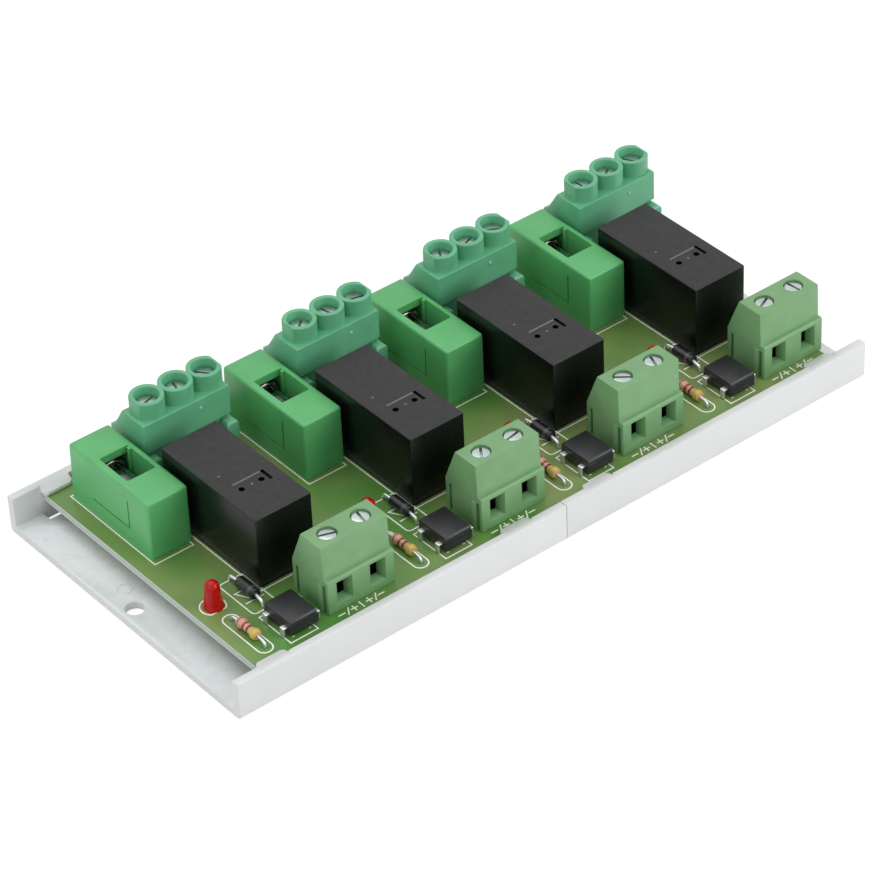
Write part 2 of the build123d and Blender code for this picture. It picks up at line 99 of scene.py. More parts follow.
class RelayModuleColours(bpy.types.PropertyGroup):
    carrier: colour("Carrier", "Moulded white plastic", "#DCDDDE")
    # the floor's cooler, bluish colour is painted shade on the carrier's white
    carrier_floor: colour("Carrier floor", "Smoother inside of the carrier", "#DDE3E4")
    board: colour("Board", "Solder mask over copper", "#548A3B")
    board_pale: colour("Board, paler", "Solder mask over bare glass fibre", "#839459")
    board_edge: colour("Board edge", "Sawn glass fibre", "#C4CFC6")
    board_print: colour("Board print", "Printed lines", "#F6F8F0")
    cover: colour("Cover", "Fuse cover", "#58AE69")
    output_terminal: colour("Contact terminal", "Terminal at the back", "#61AD84")
    input_terminal: colour("Control terminal", "Terminal at the front", "#739F6E")
    # the top's grey is partly its matt finish and partly painted light
    relay_top: colour("Relay top", "Matt top of the relay case", "#2C2B2C")
    # the raised marks' paler grey is painted highlight
    relay_mark: colour("Relay marks", "Raised marks on the relay", "#5B5A59")
    # the sides' near black is partly the same polyester's gloss and partly painted shade
    relay_side: colour("Relay side", "Smoother side of the relay case", "#0A0B0A")
    light: colour("Light", "Red lens", "#B40403")


# Materials

# Mouldings: colour; patches, grain and its depth in millimetres; lowest and highest roughness;
# contrast of the patches; index of refraction.
PLASTICS = {
    # moulded polyamide: dull white, with a very fine grain and hardly any gloss
    "white_polyamide": ("carrier", 9, 0.25, 0.01, 0.42, 0.55, 0.02, 1.53),
    # moulded polypropylene: clear green that takes soft highlights on its round edges
    "green_polypropylene": ("cover", 5, 0.3, 0.012, 0.3, 0.45, 0.05, 1.53),
    # moulded polyamide: bluish green, satin
    "bluish_green_polyamide": ("output_terminal", 4, 0.25, 0.01, 0.32, 0.46, 0.06, 1.53),
    # the same polyamide where the mould's gate was broken off: stretched pale
    "stressed_polyamide": ("output_terminal", 0.5, 0.1, 0.01, 0.4, 0.55, 0.1, 1.53),
    # moulded polyamide: yellowish green, satin
    "yellowish_green_polyamide": ("input_terminal", 4, 0.25, 0.01, 0.32, 0.46, 0.06, 1.53),
    # glass-filled polyester, spark eroded: matt grey with pale rubbed marks; the grey is partly
    # its matt finish and partly painted light on the top
    "eroded_polyester": ("relay_top", 1.2, 0.18, 0.03, 0.55, 0.75, 0.2, 1.42),
    # the same polyester from a polished mould: nearly black, with a dull shine; the near black is
    # partly its gloss and partly painted shade on the sides
    "polished_polyester": ("relay_side", 6, 0.4, 0.001, 0.24, 0.34, 0.05, 1.38),
    # raised marks of the relay's top, painted paler than the surface round them as highlight
    "rubbed_polyester": ("relay_mark", 0.6, 0.15, 0.01, 0.4, 0.55, 0.12, 1.53),
    # epoxy moulding compound: black and a little grainy
    "black_epoxy_moulding": ("#212125", 0.7, 0.12, 0.02, 0.35, 0.5, 0.25, 1.53),
    # moulded polyester of the fuse holder's base: black, only seen through the window
    "black_polyester": ("#201C1A", 3, 0.2, 0.01, 0.4, 0.5, 0.1, 1.53),
    # screen-printed epoxy ink: flat off-white, thinner in places
    "screen_printed_ink": ("board_print", 0.8, 0.2, 0.005, 0.5, 0.6, 0.05, 1.53),
    # diffused red epoxy, cast: glossy and deep red
    "red_diffused_epoxy": ("light", 2, 0.6, 0.004, 0.05, 0.1, 0.08, 1.33),
}
# Metals: colour; grain and its depth in millimetres; lowest and highest roughness.
METALS = {
    # zinc plated steel, turned: bright bluish metal with a fine uneven gloss; its green tint is
    # painted reflection of the green terminals round the screws
    "zinc_plated_steel": ("#BFC9C8", 0.5, 0.015, 0.22, 0.4),
    # nickel plated brass: warm grey metal
    "nickel_plated_brass": ("#C2BDB2", 0.6, 0.01, 0.25, 0.35),
    # tinned copper wire: soft grey metal
    "tinned_copper": ("#DCDEDF", 0.5, 0.01, 0.38, 0.52),
    # solder: bright and smooth, with rounded light on each cone
    "tin_solder": ("#C9CBCC", 0.8, 0.01, 0.15, 0.3),
}


def add_node(tree, kind, inputs=(), **settings):
    """Adds a node, sets its properties, then each input to a value or a link."""
    node = tree.nodes.new(kind)
    for name, value in settings.items():
        setattr(node, name, value)
    for name, value in dict(inputs).items():
        if isinstance(value, bpy.types.NodeSocket):
            tree.links.new(value, node.inputs[name])
        else:
            node.inputs[name].default_value = value
    return node


def empty_material(name):
    """A material with only a Principled shader and its output."""
    material = bpy.data.materials.new(name)
    material.use_nodes = True
    tree = material.node_tree
    tree.nodes.clear()
    shader = add_node(tree, "ShaderNodeBsdfPrincipled")
    add_node(tree, "ShaderNodeOutputMaterial", {"Surface": shader.outputs["BSDF"]})
    return material, tree, shader


def patterned_material(name):
    """The same with the Object coordinates that its patterns are laid out by."""
    material, tree, shader = empty_material(name)
    places = add_node(tree, "ShaderNodeTexCoord").outputs["Object"]
    return material, tree, shader, places


def palette(source):
    """A colour by its name in the sidebar or by its hex code."""
    if source.startswith("#"):
        return linear(source)
    return getattr(bpy.context.scene.relay_module_colours, source)


def scaled(rgba, factor):
    return tuple(min(1.0, channel * factor) for channel in rgba[:3]) + (1.0,)


def shades(tree, places, low, high, grain, detail=3.0, spread=0.2):
    """Colour that wanders between two shades in patches of about the given size."""
    noise = add_node(tree, "ShaderNodeTexNoise",
                     {"Vector": places, "Scale": 1 / grain, "Detail": detail, "Roughness": 0.55})
    ramp = add_node(tree, "ShaderNodeValToRGB", {"Fac": noise.outputs["Fac"]})
    for end, side, shade in zip(ramp.color_ramp.elements, (-1, 1), (low, high)):
        end.position = 0.5 + side * spread
        end.color = shade
    return ramp.outputs["Color"]


def surface_grain(tree, shader, places, grain, depth, rough_low, rough_high):
    """Fine bump and uneven gloss of the same grain."""
    noise = add_node(tree, "ShaderNodeTexNoise",
                     {"Vector": places, "Scale": 1 / grain, "Detail": 4.0})
    bump = add_node(tree, "ShaderNodeBump",
                    {"Height": noise.outputs["Fac"], "Distance": depth, "Strength": 0.6})
    gloss = add_node(tree, "ShaderNodeMapRange",
                     {"Value": noise.outputs["Fac"], "To Min": rough_low, "To Max": rough_high})
    tree.links.new(bump.outputs["Normal"], shader.inputs["Normal"])
    tree.links.new(gloss.outputs["Result"], shader.inputs["Roughness"])


def plastic(name, lift=1.0):
    """A moulding from the table, its colour lifted where the plastic is stretched."""
    source, patch, grain, depth, rough_low, rough_high, contrast, ior = PLASTICS[name]
    material, tree, shader, places = patterned_material(name)
    rgba = scaled(palette(source), lift)
    tint = shades(tree, places, scaled(rgba, 1 - contrast), scaled(rgba, 1 + contrast), patch * MM)
    tree.links.new(tint, shader.inputs["Base Color"])
    shader.inputs["IOR"].default_value = ior
    surface_grain(tree, shader, places, grain * MM, depth * MM, rough_low, rough_high)
    return material


def metal(name):
    """A metal from the table, a little uneven in its tint and gloss."""
    source, grain, depth, rough_low, rough_high = METALS[name]
    material, tree, shader, places = patterned_material(name)
    rgba = palette(source)
    shader.inputs["Metallic"].default_value = 1.0
    tint = shades(tree, places, scaled(rgba, 0.88), scaled(rgba, 1.08), 6 * grain * MM)
    tree.links.new(tint, shader.inputs["Base Color"])
    surface_grain(tree, shader, places, grain * MM, depth * MM, rough_low, rough_high)
    return material


def carrier_floor_plastic():
    """The carrier's inside, from a polished mould: smoother, with long faint flow marks; its
    cooler, bluish tint is painted shade.
    """
    material, tree, shader, places = patterned_material("polished_polyamide")
    floor_shade = palette("carrier_floor")
    flow = add_node(tree, "ShaderNodeTexNoise",
                    {"Vector": places, "Scale": 1 / (7 * MM), "Detail": 5.0, "Distortion": 2.2})
    ramp = add_node(tree, "ShaderNodeValToRGB", {"Fac": flow.outputs["Fac"]})
    for end, position, shade in zip(ramp.color_ramp.elements, (0.35, 0.6),
                                    (scaled(floor_shade, 0.95), floor_shade)):
        end.position = position
        end.color = shade
    gloss = add_node(tree, "ShaderNodeMapRange",
                     {"Value": flow.outputs["Fac"], "To Min": 0.18, "To Max": 0.4})
    tree.links.new(ramp.outputs["Color"], shader.inputs["Base Color"])
    tree.links.new(gloss.outputs["Result"], shader.inputs["Roughness"])
    return material


def solder_mask():
    """Solder mask on a circuit board: green lacquer, glossy, with the weave just felt below."""
    material, tree, shader, places = patterned_material("green_solder_mask")
    tint = shades(tree, places, palette("board"), palette("board_pale"), 19 * MM, 2.0, 0.16)
    weave = add_node(tree, "ShaderNodeTexBrick",
                     {"Vector": places, "Scale": 1.0, "Brick Width": 1.1 * MM,
                      "Row Height": 0.55 * MM, "Mortar Size": 0.08 * MM, "Mortar Smooth": 1.0})
    bump = add_node(tree, "ShaderNodeBump",
                    {"Height": weave.outputs["Fac"], "Distance": 0.006 * MM, "Strength": 0.3})
    tree.links.new(tint, shader.inputs["Base Color"])
    tree.links.new(bump.outputs["Normal"], shader.inputs["Normal"])
    shader.inputs["Roughness"].default_value = 0.34
    return material


def glass_fibre():
    """Sawn glass fibre laminate: pale yellow green with fine layers along the edge."""
    material, tree, shader, places = patterned_material("sawn_glass_fibre")
    pale = palette("board_edge")
    layers = add_node(tree, "ShaderNodeTexWave",
                      {"Vector": places, "Scale": 1 / (3 * MM), "Distortion": 0.6},
                      bands_direction="Z")
    ramp = add_node(tree, "ShaderNodeValToRGB", {"Fac": layers.outputs["Fac"]})
    ramp.color_ramp.elements[0].color = scaled(pale, 0.8)
    ramp.color_ramp.elements[1].color = pale
    tree.links.new(ramp.outputs["Color"], shader.inputs["Base Color"])
    shader.inputs["Roughness"].default_value = 0.7
    return material


def red_lens():
    """Diffused red epoxy, with light that spreads inside it."""
    material = plastic("red_diffused_epoxy")
    shader = material.node_tree.nodes["Principled BSDF"]
    shader.inputs["Subsurface Weight"].default_value = 0.12
    shader.inputs["Subsurface Radius"].default_value = (1.2 * MM, 0.3 * MM, 0.2 * MM)
    shader.inputs["Subsurface Scale"].default_value = 1.0
    return material


def clear_glass():
    """Drawn glass tube: clear, seen by its rim of reflections."""
    material, tree, shader, places = patterned_material("drawn_glass")
    shader.inputs["Base Color"].default_value = linear("#EAF2F2")
    shader.inputs["Roughness"].default_value = 0.03
    shader.inputs["Transmission Weight"].default_value = 1.0
    shader.inputs["IOR"].default_value = 1.47
    waves = add_node(tree, "ShaderNodeTexNoise", {"Vector": places, "Scale": 1 / (3 * MM)})
    bump = add_node(tree, "ShaderNodeBump",
                    {"Height": waves.outputs["Fac"], "Distance": 0.01 * MM})
    tree.links.new(bump.outputs["Normal"], shader.inputs["Normal"])
    return material


def banded(name, node, bands, ground, rough):
    """A lacquered barrel along Y with painted rings: (from, to, colour) as parts of its length."""
    low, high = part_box(node)
    material, tree, shader, places = patterned_material(name)
    along = add_node(tree, "ShaderNodeSeparateXYZ", {"Vector": places})
    part = add_node(tree, "ShaderNodeMapRange",
                    {"Value": along.outputs["Y"], "From Min": low.y, "From Max": high.y})
    ramp = add_node(tree, "ShaderNodeValToRGB", {"Fac": part.outputs["Result"]})
    ramp.color_ramp.interpolation = "CONSTANT"
    ramp.color_ramp.elements[0].color = linear(ground)
    ramp.color_ramp.elements.remove(ramp.color_ramp.elements[1])
    for first, last, ring in bands:
        ramp.color_ramp.elements.new(first).color = linear(ring)
        ramp.color_ramp.elements.new(last).color = linear(ground)
    noise = add_node(tree, "ShaderNodeTexNoise", {"Vector": places, "Scale": 1 / (1.5 * MM)})
    bump = add_node(tree, "ShaderNodeBump",
                    {"Height": noise.outputs["Fac"], "Distance": 0.03 * MM})
    tree.links.new(bump.outputs["Normal"], shader.inputs["Normal"])
    tree.links.new(ramp.outputs["Color"], shader.inputs["Base Color"])
    shader.inputs["Roughness"].default_value = rough
    return material


def finish_nodes(material, *nodes):
    """Gives CAD nodes that stay in the picture their finish."""
    for node in nodes:
        slots = bpy.data.objects[node].data.materials
        slots.clear()
        slots.append(material)


# Mesh making

def block(mesh, low, high):
    """Adds a box between two corners."""
    low, high = Vector(low), Vector(high)
    place = Matrix.Translation((low + high) / 2) @ Matrix.Diagonal((high - low).to_4d())
    return bmesh.ops.create_cube(mesh, size=1, matrix=place)["verts"]


def edges_of(verts):
    return list({edge for vert in verts for edge in vert.link_edges})


def bevel(mesh, edges, width, segments=3):
    bmesh.ops.bevel(mesh, geom=edges, offset=width, segments=segments, profile=0.5,
                    affect="EDGES", clamp_overlap=True, material=-1)


def column(mesh, x, y, low, high, radius, segments=48, top_radius=None):
    """Adds an upright cylinder, or a cone where the top radius differs."""
    place = Matrix.Translation((x, y, (low + high) / 2))
    top = radius if top_radius is None else top_radius
    bmesh.ops.create_cone(mesh, cap_ends=True, segments=segments, radius1=radius, radius2=top,
                          depth=high - low, matrix=place)


def mm(outline):
    """An outline given in millimetres."""
    return [(across * MM, up * MM) for across, up in outline]


def rim(radius, top, edge, side=1):
    """The rounded upper edge of a pin, from outside inwards, or of a bore where side is -1."""
    return [(radius, top - edge), (radius - side * 0.3 * edge, top - 0.3 * edge),
            (radius - side * edge, top)]


def lathe(mesh, outline, place=Matrix(), segments=48):
    """Spins an outline of (radius, height) points about Z and sets it down at a place."""
    verts = [mesh.verts.new((radius, 0, height)) for radius, height in outline]
    edges = [mesh.edges.new(pair) for pair in zip(verts, verts[1:])]
    before = set(mesh.verts) - set(verts)
    bmesh.ops.spin(mesh, geom=verts + edges, cent=(0, 0, 0), axis=(0, 0, 1), angle=math.tau,
                   steps=segments, use_merge=True)
    made = [vert for vert in mesh.verts if vert not in before]
    bmesh.ops.remove_doubles(mesh, verts=made, dist=WELD)
    made = [vert for vert in mesh.verts if vert not in before]
    bmesh.ops.transform(mesh, matrix=place, verts=made)


def along_y(centre):
    """Where a turned part lies with its axis along Y."""
    return Matrix.Translation(centre) @ Matrix.Rotation(math.radians(-90), 4, "X")


def extruded(mesh, outline, x_low, x_high):
    """Extrudes a YZ outline along X."""
    face = mesh.faces.new([mesh.verts.new((x_low, y, z)) for y, z in outline])
    moved = bmesh.ops.extrude_face_region(mesh, geom=[face])["geom"]
    verts = [item for item in moved if isinstance(item, bmesh.types.BMVert)]
    bmesh.ops.translate(mesh, verts=verts, vec=(x_high - x_low, 0, 0))
    bmesh.ops.recalc_face_normals(mesh, faces=mesh.faces)


def object_of(name, mesh):
    """Makes a mesh object in the scene from a bmesh, which is freed."""
    data = bpy.data.meshes.new(name)
    bmesh.ops.recalc_face_normals(mesh, faces=mesh.faces)
    mesh.to_mesh(data)
    mesh.free()
    made = bpy.data.objects.new(name, data)
    bpy.context.scene.collection.objects.link(made)
    return made


def combined(body, operation, *tools):
    """Joins or cuts one bmesh with others, which are freed."""
    solid = object_of("work_body", body)
    others = [object_of("work_tool", tool) for tool in tools]
    for other in others:
        modifier = solid.modifiers.new("work", "BOOLEAN")
        modifier.operation = operation
        modifier.object = other
        modifier.solver = "EXACT"
    evaluated = solid.evaluated_get(bpy.context.evaluated_depsgraph_get())
    data = bpy.data.meshes.new_from_object(evaluated)
    result = bmesh.new()
    result.from_mesh(data)
    for old in others + [solid]:
        bpy.data.meshes.remove(old.data)
    bpy.data.meshes.remove(data)
    bmesh.ops.remove_doubles(result, verts=result.verts, dist=WELD)
    if not result.faces:
        raise RuntimeError("a boolean step left nothing")
    return result


def cad_copy(node):
    """A merged copy of a CAD node's mesh with its flat faces whole."""
    copy = bmesh.new()
    copy.from_mesh(bpy.data.objects[node].data)
    bmesh.ops.remove_doubles(copy, verts=copy.verts, dist=WELD)
    bmesh.ops.dissolve_limit(copy, angle_limit=math.radians(0.5), verts=copy.verts,
                             edges=copy.edges)
    return copy


def sharp_edges(mesh, degrees=28):
    return [edge for edge in mesh.edges
            if len(edge.link_faces) == 2 and edge.calc_face_angle(0) > math.radians(degrees)]


def paint_new(mesh, plain, index):
    """Gives the faces that were added since plain another material."""
    for face in set(mesh.faces) - plain:
        face.material_index = index


def place_piece(name, mesh, materials, body, nodes=(), smooth_degrees=35):
    """Turns a bmesh into a finished piece: shading, materials, body and what it replaces."""
    made = object_of(name, mesh)
    for material in materials:
        made.data.materials.append(material)
    made.data.shade_smooth()
    made.data.set_sharp_from_angle(angle=math.radians(smooth_degrees))
    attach(made, body)
    if nodes:
        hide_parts(*nodes)


class PieceOperator:
    """What the operators share."""

    bl_options = {"REGISTER", "UNDO"}

    @property
    def sizes(self):
        return bpy.context.scene.relay_module_sizes

    def each_channel(self, node):
        """Number and low and high corner of one CAD node in every channel."""
        for number in CHANNELS:
            low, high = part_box(f"{node}_{number}")
            yield number, low, high

    def in_each_channel(self, node, make, piece, materials, body, slot, smooth_degrees=35):
        """Makes channel 1's piece and sets a copy of it down in every channel."""
        first_low, first_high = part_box(f"{node}_1")
        solid = make(first_low, first_high)
        for number, low, _ in self.each_channel(node):
            copy = solid.copy()
            bmesh.ops.translate(copy, verts=copy.verts, vec=low - first_low)
            place_piece(piece.format(number), copy, materials, body.format(number),
                        [f"{node}_{number}"], smooth_degrees)
        solid.free()


class OBJECT_OT_relay_module_carrier(PieceOperator, bpy.types.Operator):
    """Makes the white carrier with softly rounded edges and its mould marks"""

    bl_idname = "object.relay_module_carrier"
    bl_label = "Carrier"

    FLOOR = 1.7 * MM
    # Ejector marks on the open ends of the floor, in millimetres: distance from the left and the
    # front, and radius. The right end has them turned by half a turn.
    EJECTORS = ((4.75, 41.9, 1.5), (3.5, 20.5, 0.8), (2.0, 63.7, 0.5))

    def execute(self, context):
        white, inside = plastic("white_polyamide"), carrier_floor_plastic()
        for node in ("carrier_left", "carrier_right"):
            mesh = cad_copy(node)
            bevel(mesh, sharp_edges(mesh), self.sizes.carrier_edge, 2)
            mesh.normal_update()
            # faces that face up at the floor's level get the floor's painted shade
            for face in mesh.faces:
                level = abs(face.calc_center_median().z - self.FLOOR) < 0.05 * MM
                face.material_index = 1 if level and face.normal.z > 0.9 else 0
            place_piece(f"{node}_shell", mesh, [white, inside], "module", [node])
        marks = bmesh.new()
        for x, y, radius in self.EJECTORS:
            ring = mm([(radius, -0.1), (radius, 0.04), (radius - 0.12, 0.06),
                       (radius - 0.25, 0.04), (radius - 0.25, -0.1), (radius, -0.1)])
            place = Vector((CARRIER_LOW.x + x * MM, CARRIER_LOW.y + y * MM, 0))
            for side in (-1, 1):
                at = Vector((side * place.x, side * place.y, self.FLOOR))
                lathe(marks, ring, Matrix.Translation(at), 32)
        # the ejector marks on the floor take its painted shade too
        place_piece("carrier_mould_marks", marks, [inside], "module")
        return {"FINISHED"}


class OBJECT_OT_relay_module_board(PieceOperator, bpy.types.Operator):
    """Makes the drilled circuit board, green above and below and pale at its sawn edge"""

    bl_idname = "object.relay_module_board"
    bl_label = "Circuit board"

    def execute(self, context):
        mesh = cad_copy("circuit_board")
        for face in mesh.faces:
            face.material_index = 0 if abs(face.normal.z) > 0.5 else 1
        place_piece("board", mesh, [solder_mask(), glass_fibre()], "module",
                    ["circuit_board"])
        return {"FINISHED"}


class OBJECT_OT_relay_module_print(PieceOperator, bpy.types.Operator):
    """Prints the outlines of the parts and the polarity signs on the board"""

    bl_idname = "object.relay_module_print"
    bl_label = "Board print"

    # The print of one channel, in millimetres from the left side of its fuse cover and from the
    # front of the carrier. Lines that cross others lie a little lower.
    LOWER = -0.004
    FUSE = ((-0.6, 38.9), (8.2, 66.0))
    RELAY = ((9.45, 19.85), (22.95, 50.05))
    RECTIFIER = ((4.7, 4.57), (10.85, 14.1))
    LIGHT, LIGHT_RADIUS, LIGHT_TURNS = (0.3, 22.2), 2.6, (-50, 230)
    RESISTOR, RESISTOR_CORNER = ((-1.1, 5.3), (2.0, 18.45)), 1.54
    DIODE, DIODE_CORNER = ((4.45, 15.3), (10.0, 26.2)), 0.8
    DIODE_ARROW = ((5.0, 22.45), (7.25, 18.6), (9.3, 22.45))
    DIODE_BAR = ((5.3, 18.75), (9.2, 18.75))
    # Rows of level strokes: their middles, the row's place and half of a stroke's length.
    RECTIFIER_DOTS = ((6.17, 9.89), 5.8, 0.12)
    SIGNS = ((16.4, 19.25, 22.7, 25.4), 4.75, 0.65)  # minus, plus, plus, minus
    # Rows of upright strokes: their middles with how far they lean, and the row's two ends.
    PLUSES = (((19.25, 0), (22.7, 0)), 4.05, 5.45)
    SLASHES = (((17.9, 0.5), (20.9, 0), (24.15, 0.5)), 3.9, 5.55)

    def place(self, x, y, level=0.0):
        """A point on the board given in millimetres from the carrier's corner."""
        return Vector((CARRIER_LOW.x + x * MM, CARRIER_LOW.y + y * MM,
                       BOARD_HIGH.z + level * MM))

    def stroke(self, mesh, start, end, level=0.0):
        """A straight printed line."""
        start, end = self.place(*start, level), self.place(*end, level)
        run = end - start
        half = self.sizes.print_width / 2
        verts = block(mesh, (-half, -half, -0.01 * MM),
                      (run.length + half, half, self.sizes.print_height))
        turn = Matrix.Rotation(math.atan2(run.y, run.x), 4, "Z")
        bmesh.ops.transform(mesh, matrix=Matrix.Translation(start) @ turn, verts=verts)

    def outline(self, mesh, points, level=0.0):
        """A closed line whose outer edge runs through the points, which go anticlockwise."""
        face = mesh.faces.new([mesh.verts.new(self.place(x, y, level - 0.01))
                               for x, y in points])
        # the inset follows the face's normal
        face.normal_update()
        ring = bmesh.ops.inset_region(mesh, faces=[face], thickness=self.sizes.print_width,
                                      use_boundary=True, use_even_offset=True)["faces"]
        mesh.faces.remove(face)
        raised = bmesh.ops.extrude_face_region(mesh, geom=ring, use_keep_orig=True)["geom"]
        verts = [item for item in raised if isinstance(item, bmesh.types.BMVert)]
        bmesh.ops.translate(mesh, verts=verts, vec=(0, 0, self.sizes.print_height + 0.01 * MM))

    def frame(self, mesh, low, high):
        """A printed rectangle between two corners."""
        half = self.sizes.print_width / MM / 2
        (left, front), (right, rear) = low, high
        self.outline(mesh, [(left - half, front - half), (right + half, front - half),
                            (right + half, rear + half), (left - half, rear + half)])

    def arc(self, x, y, radius, first, last, steps=7):
        """Points on an arc between two angles in degrees, anticlockwise."""
        turns = [math.radians(first + (last - first) * step / steps)
                 for step in range(steps + 1)]
        return [(x + radius * math.cos(turn), y + radius * math.sin(turn)) for turn in turns]

    def loop(self, mesh, low, high, radius, level=0.0):
        """A printed rectangle with round corners."""
        half = self.sizes.print_width / MM / 2
        (left, front), (right, rear) = low, high
        centres = ((left + radius, front + radius, 180), (right - radius, front + radius, 270),
                   (right - radius, rear - radius, 0), (left + radius, rear - radius, 90))
        self.outline(mesh, [point for x, y, first in centres
                            for point in self.arc(x, y, radius + half, first, first + 90)], level)

    def channel_print(self, mesh, left):
        """All the print of the channel whose fuse cover starts here."""
        def at(points):
            return [(left + x, y) for x, y in points]

        for corners in (self.FUSE, self.RELAY, self.RECTIFIER):
            self.frame(mesh, *at(corners))
        self.outline(mesh, at(self.arc(*self.LIGHT, self.LIGHT_RADIUS, *self.LIGHT_TURNS, 28)))
        self.loop(mesh, *at(self.RESISTOR), self.RESISTOR_CORNER)
        self.loop(mesh, *at(self.DIODE), self.DIODE_CORNER, 2 * self.LOWER)
        self.outline(mesh, at(self.DIODE_ARROW))
        strokes = [(*self.DIODE_BAR, self.LOWER)]
        for middles, y, half in (self.RECTIFIER_DOTS, self.SIGNS):
            strokes += [((x - half, y), (x + half, y), 0) for x in middles]
        for middles, front, rear in (self.PLUSES, self.SLASHES):
            strokes += [((x - lean, front), (x + lean, rear), self.LOWER) for x, lean in middles]
        for start, end, level in strokes:
            self.stroke(mesh, *at((start, end)), level)

    def execute(self, context):
        mesh = bmesh.new()
        for _, low, _ in self.each_channel("fuse_cover"):
            self.channel_print(mesh, (low.x - CARRIER_LOW.x) / MM)
        place_piece("board_print", mesh, [plastic("screen_printed_ink")], "module")
        return {"FINISHED"}


class OBJECT_OT_relay_module_fuse_covers(PieceOperator, bpy.types.Operator):
    """Makes the four fuse covers with round edges, sight window, rib and snap slit"""

    bl_idname = "object.relay_module_fuse_covers"
    bl_label = "Fuse covers"

    def cover(self, low, high):
        wall, roof = 1.1 * MM, 1.6 * MM
        # the real cover stands out this far beyond its solid, and the walls' draft spreads its
        # foot further to the left and the back
        out_low, out_high = Vector((0.3, 0.2, 0.35)) * MM, Vector((0.15, 0.6, 0)) * MM
        spread_left, spread_back = 0.1 * MM, 0.5 * MM
        middle_y = (low.y + high.y) / 2
        outer = bmesh.new()
        verts = block(outer, low - out_low, high + out_high)
        for vert in verts:
            if vert.co.z < low.z and vert.co.x < low.x:
                vert.co.x -= spread_left
            if vert.co.z < low.z and vert.co.y > high.y:
                vert.co.y += spread_back
        bevel(outer, [edge for edge in edges_of(verts)
                      if max(vert.co.z for vert in edge.verts) > (low.z + high.z) / 2],
              self.sizes.cover_round, 5)
        inside = bmesh.new()
        block(inside, (low.x + wall, low.y + wall, low.z - wall),
              (high.x - wall, high.y - wall, high.z - roof))
        window = bmesh.new()
        window_y, half = middle_y + 0.4 * MM, 4.5 * MM
        verts = block(window, (low.x + 1.25 * MM, window_y - half, high.z - 2 * roof),
                      (high.x - wall - 0.01 * MM, window_y + half, high.z + roof))
        bevel(window, [edge for edge in edges_of(verts)
                       if abs(edge.verts[0].co.z - edge.verts[1].co.z) > roof], 0.3 * MM, 2)
        # the slit round the snap tongue of the left wall: along its foot, then up its front
        slit_y, slit_z, slit = middle_y - 6 * MM, low.z + 3.3 * MM, 0.3 * MM
        slits = []
        for run, rise in ((12 * MM, slit), (slit, 6.6 * MM)):
            slits.append(bmesh.new())
            block(slits[-1], (low.x - wall, slit_y, slit_z),
                  (low.x + wall, slit_y + run, slit_z + rise))
        shell = combined(outer, "DIFFERENCE", inside, window, *slits)
        rib_y, rib_half = window_y + half - 0.75 * MM, 0.4 * MM
        rib = block(shell, (high.x - wall - 0.5 * MM, rib_y - rib_half, high.z - 7.3 * MM),
                    (high.x - wall / 2, rib_y + rib_half, high.z - 0.08 * MM))
        bevel(shell, edges_of(rib), 0.12 * MM, 2)
        return shell

    def execute(self, context):
        self.in_each_channel("fuse_cover", self.cover, "cover_{}_shell",
                             [plastic("green_polypropylene")], "cover_{}", "cover_green")
        return {"FINISHED"}


class OBJECT_OT_relay_module_fuses(PieceOperator, bpy.types.Operator):
    """Makes the glass fuses with their caps, wire, clips and holder bases"""

    bl_idname = "object.relay_module_fuses"
    bl_label = "Fuses"

    def execute(self, context):
        glass, nickel = clear_glass(), metal("nickel_plated_brass")
        black = plastic("black_polyester")
        for number, low, high in self.each_channel("fuse_tube"):
            lay = along_y((low + high) / 2)
            radius, half, wall = (high.z - low.z) / 2, (high.y - low.y) / 2, 0.5 * MM
            tube = bmesh.new()
            lathe(tube, [(radius, -half), (radius, half), (radius - wall, half),
                         (radius - wall, -half), (radius, -half)], lay)
            place_piece(f"fuse_glass_{number}", tube, [glass], "module",
                        [f"fuse_tube_{number}"])
            caps = bmesh.new()
            low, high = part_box(f"fuse_caps_{number}")
            radius, half = (high.z - low.z) / 2, (high.y - low.y) / 2
            edge, wall, end, mouth = 0.3 * MM, 0.25 * MM, 0.4 * MM, half - 4.2 * MM
            cup = [(0, half), (radius - edge, half), (radius, half - edge),
                   (radius, mouth + 0.1 * MM), (radius - 0.1 * MM, mouth), (radius - wall, mouth),
                   (radius - wall, half - end), (0, half - end)]
            lathe(caps, cup, lay)
            lathe(caps, cup, lay @ Matrix.Rotation(math.pi, 4, "X"))
            place_piece(f"fuse_cap_pair_{number}", caps, [nickel], "module",
                        [f"fuse_caps_{number}"])
        finish_nodes(nickel, "fuse_clips")
        finish_nodes(metal("tinned_copper"), "fuse_elements")
        for number in CHANNELS:
            base = cad_copy(f"fuse_base_{number}")
            bevel(base, sharp_edges(base), 0.12 * MM, 2)
            place_piece(f"fuse_holder_{number}", base, [black], "module",
                        [f"fuse_base_{number}"])
        return {"FINISHED"}


